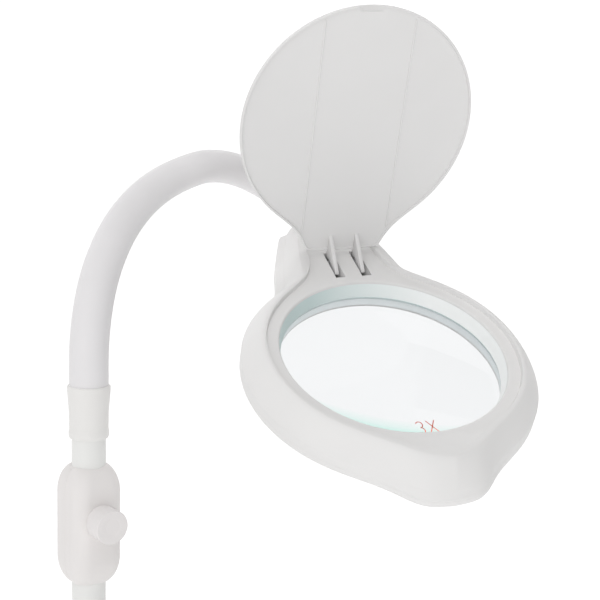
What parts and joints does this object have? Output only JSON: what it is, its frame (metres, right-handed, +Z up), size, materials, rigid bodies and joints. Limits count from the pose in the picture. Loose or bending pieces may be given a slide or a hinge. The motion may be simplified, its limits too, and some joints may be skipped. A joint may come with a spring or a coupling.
{
  "type": "magnifying lamp",
  "caption": "Table magnifying lamp: round lens in a teardrop head with a flip-up cover and ring light, flexible neck, pole with clamp block, round weighted base.",
  "frame": {"origin": "centre of the base's resting face, on the pole's axis", "axes": "+Z up along the pole; -Y towards the user; the head hangs to the +X side, nose towards -Y"},
  "size_m": [0.3495, 0.2966, 0.5078],
  "materials": {
    "shell_white": "fine moulded texture, off-white",
    "shell_white_lower": "fine moulded texture, off-white",
    "cover_white": "smooth moulded sheet, off-white",
    "lens_glass": "polished, faint green edge",
    "gasket_rubber": "soft, grey",
    "ring_white": "moulded",
    "board": "white solder mask",
    "led_yellow": "clear yellow phosphor",
    "diffuser_frost": "frosted translucent",
    "driver_green": "solder mask",
    "switch_black": "moulded",
    "button_grey": "moulded",
    "screw_steel": "zinc plated",
    "pin_steel": "ground",
    "fitting_steel": "zinc plated",
    "hose_steel": "interlocked strip",
    "sleeve_white": "soft smooth sleeve, off-white",
    "collar_white": "moulded",
    "pole_white": "powder coat, off-white",
    "block_white": "fine moulded texture",
    "knob_white": "fine moulded texture",
    "washer_nylon": "nylon",
    "base_white": "fine moulded texture",
    "plate_grey": "painted sheet",
    "iron": "as cast",
    "pad_rubber": "non-slip foam rubber",
    "inlet_black": "moulded"
  },
  "bodies": {
    "stand": {"base_pad": "pad_rubber", "base_bottom_plate": "plate_grey", "base_screws": "screw_steel", "base_weight": "iron", "base_cover": "base_white", "pole_socket": "fitting_steel", "dc_inlet": "inlet_black", "pole_lower_tube": "pole_white", "clamp_front_shell": "block_white", "clamp_rear_shell": "block_white", "clamp_nut": "fitting_steel", "clamp_nut_cap": "block_white", "swivel_washer": "washer_nylon"},
    "knob": {"clamp_knob": "knob_white", "clamp_bolt": "pin_steel"},
    "mast": {"pole_upper_tube": "pole_white", "gooseneck_collar": "collar_white", "gooseneck_core_root": "hose_steel", "gooseneck_sleeve_root": "sleeve_white"},
    "hose_1": {"gooseneck_core_1": "hose_steel", "gooseneck_sleeve_1": "sleeve_white"},
    "hose_2": {"gooseneck_core_2": "hose_steel", "gooseneck_sleeve_2": "sleeve_white"},
    "hose_3": {"gooseneck_core_3": "hose_steel", "gooseneck_sleeve_3": "sleeve_white"},
    "hose_4": {"gooseneck_core_4": "hose_steel", "gooseneck_sleeve_4": "sleeve_white"},
    "hose_5": {"gooseneck_core_5": "hose_steel", "gooseneck_sleeve_5": "sleeve_white"},
    "hose_6": {"gooseneck_core_6": "hose_steel", "gooseneck_sleeve_6": "sleeve_white"},
    "hose_7": {"gooseneck_core_7": "hose_steel", "gooseneck_sleeve_7": "sleeve_white"},
    "hose_8": {"gooseneck_core_8": "hose_steel", "gooseneck_sleeve_8": "sleeve_white"},
    "hose_9": {"gooseneck_core_9": "hose_steel", "gooseneck_sleeve_9": "sleeve_white"},
    "head": {"head_top_shell": "shell_white", "head_bottom_shell": "shell_white_lower", "head_screws": "screw_steel", "lens": "lens_glass", "lens_gasket": "gasket_rubber", "lens_retaining_ring": "ring_white", "led_board": "board", "led_chips": "led_yellow", "light_diffuser": "diffuser_frost", "driver_board": "driver_green", "switch_body": "switch_black", "hinge_pin": "pin_steel", "hose_end_fitting": "fitting_steel", "hose_lock_nut": "fitting_steel", "gooseneck_core_end": "hose_steel", "gooseneck_sleeve_end": "sleeve_white"},
    "cover": {"lens_cover": "cover_white"},
    "button": {"switch_button": "button_grey"}
  },
  "joints": [
    {"name": "mast_swivel", "type": "hinge", "parent": "stand", "child": "mast", "pos_m": [0, 0, 0.264], "axis": [0, 0, 1], "range_deg": [-170, 170]},
    {"name": "clamp_knob_turn", "type": "hinge", "parent": "stand", "child": "knob", "pos_m": [0.00903, -0.01198, 0.2465], "axis": [0.6018, -0.7986, 0], "range_deg": [-30, 330]},
    {"name": "gooseneck_bend_1", "type": "hinge", "parent": "mast", "child": "hose_1", "pos_m": [0, 0, 0.339], "axis": [-0.9781, 0.2079, 0], "range_deg": [-15, 15]},
    {"name": "gooseneck_bend_2", "type": "hinge", "parent": "hose_1", "child": "hose_2", "pos_m": [0.0026, 0.01224, 0.36583], "axis": [-0.265, -0.7657, 0.5861], "range_deg": [-15, 15]},
    {"name": "gooseneck_bend_3", "type": "hinge", "parent": "hose_2", "child": "hose_3", "pos_m": [0.0082, 0.03315, 0.38601], "axis": [0.9544, -0.2955, 0.0412], "range_deg": [-15, 15]},
    {"name": "gooseneck_bend_4", "type": "hinge", "parent": "hose_3", "child": "hose_4", "pos_m": [0.01547, 0.0585, 0.39945], "axis": [-0.1942, -0.3315, 0.9232], "range_deg": [-15, 15]},
    {"name": "gooseneck_bend_5", "type": "hinge", "parent": "hose_4", "child": "hose_5", "pos_m": [0.02375, 0.08557, 0.40811], "axis": [-0.6977, 0.4027, -0.5924], "range_deg": [-15, 15]},
    {"name": "gooseneck_bend_6", "type": "hinge", "parent": "hose_5", "child": "hose_6", "pos_m": [0.03413, 0.1126, 0.41426], "axis": [-0.8642, 0.3139, 0.3932], "range_deg": [-15, 15]},
    {"name": "gooseneck_bend_7", "type": "hinge", "parent": "hose_6", "child": "hose_7", "pos_m": [0.04785, 0.13841, 0.41889], "axis": [0.7076, -0.4708, 0.5269], "range_deg": [-15, 15]},
    {"name": "gooseneck_bend_8", "type": "hinge", "parent": "hose_7", "child": "hose_8", "pos_m": [0.06594, 0.16156, 0.41528], "axis": [-0.3574, 0.7417, 0.5676], "range_deg": [-15, 15]},
    {"name": "gooseneck_bend_9", "type": "hinge", "parent": "hose_8", "child": "hose_9", "pos_m": [0.09022, 0.17187, 0.40185], "axis": [-0.5562, 0.2993, -0.7753], "range_deg": [-15, 12]},
    {"name": "gooseneck_bend_10", "type": "hinge", "parent": "hose_9", "child": "head", "pos_m": [0.11154, 0.16325, 0.38322], "axis": [0.6039, 0.7705, -0.204], "range_deg": [-15, 15]},
    {"name": "cover_hinge", "type": "hinge", "parent": "head", "child": "cover", "pos_m": [0.12797, 0.11911, 0.36413], "axis": [0.9432, 0.3281, 0.0532], "range_deg": [-8, 97]},
    {"name": "switch_press", "type": "slide", "parent": "head", "child": "button", "axis": [0.1178, -0.4795, 0.8696], "range_m": [0, 0.0014], "stiffness_N_per_m": 600}
  ]
}
